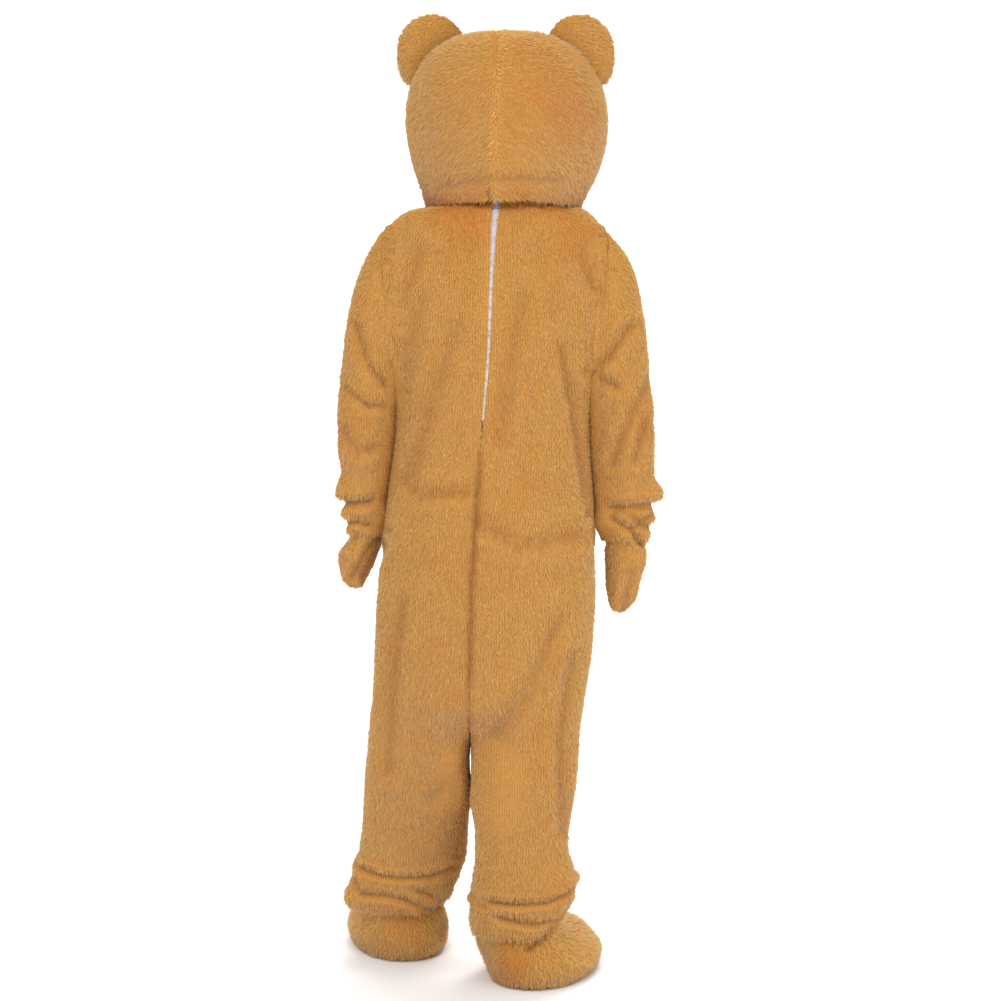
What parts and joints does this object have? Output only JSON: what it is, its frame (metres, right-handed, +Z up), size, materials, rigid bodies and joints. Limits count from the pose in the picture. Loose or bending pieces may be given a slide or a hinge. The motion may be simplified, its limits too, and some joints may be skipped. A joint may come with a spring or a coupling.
{
  "type": "bear mascot costume",
  "caption": "Worn plush bear costume: one-piece suit with a back zip, a round-eared head, mittens and paw shoe covers, hollow and open at neck, cuffs and hems.",
  "frame": {"origin": "between the shoulders at the base of the neck, where the wearer carries the costume", "axes": "+Z up, the face looks along -Y, the costume's left side is at +X"},
  "size_m": [0.611, 0.5463, 1.783],
  "materials": {
    "ginger_plush": "short brushed pile",
    "muzzle_plush": "short brushed pile",
    "sole_cloth": "dotted non-slip cloth",
    "nose_vinyl": "satin",
    "eye_plastic": "gloss",
    "zip_polyester": "woven tape",
    "zip_metal": "satin"
  },
  "bodies": {
    "root": {"back_left": "ginger_plush", "back_right": "ginger_plush", "front_left": "ginger_plush", "front_right": "ginger_plush", "sleeve_left": "ginger_plush", "sleeve_right": "ginger_plush", "mitten_left": "ginger_plush", "mitten_right": "ginger_plush", "shoe_upper_left": "ginger_plush", "shoe_upper_right": "ginger_plush", "head_back_left": "ginger_plush", "head_back_right": "ginger_plush", "head_face": "ginger_plush", "ear_left": "ginger_plush", "ear_right": "ginger_plush", "muzzle": "muzzle_plush", "nose": "nose_vinyl", "eye_left": "eye_plastic", "eye_right": "eye_plastic", "shoe_sole_left": "sole_cloth", "shoe_sole_right": "sole_cloth", "zip_tape_left": "zip_polyester", "zip_tape_right": "zip_polyester", "zip_slider": "zip_metal"},
    "zip_pull": {"zip_pull": "zip_metal"}
  },
  "joints": [
    {"name": "zip_pull_hinge", "type": "hinge", "parent": "root", "child": "zip_pull", "pos_m": [0.00613, 0.08458, 0.06422], "axis": [1, 0, 0], "range_deg": [0, 150]}
  ]
}
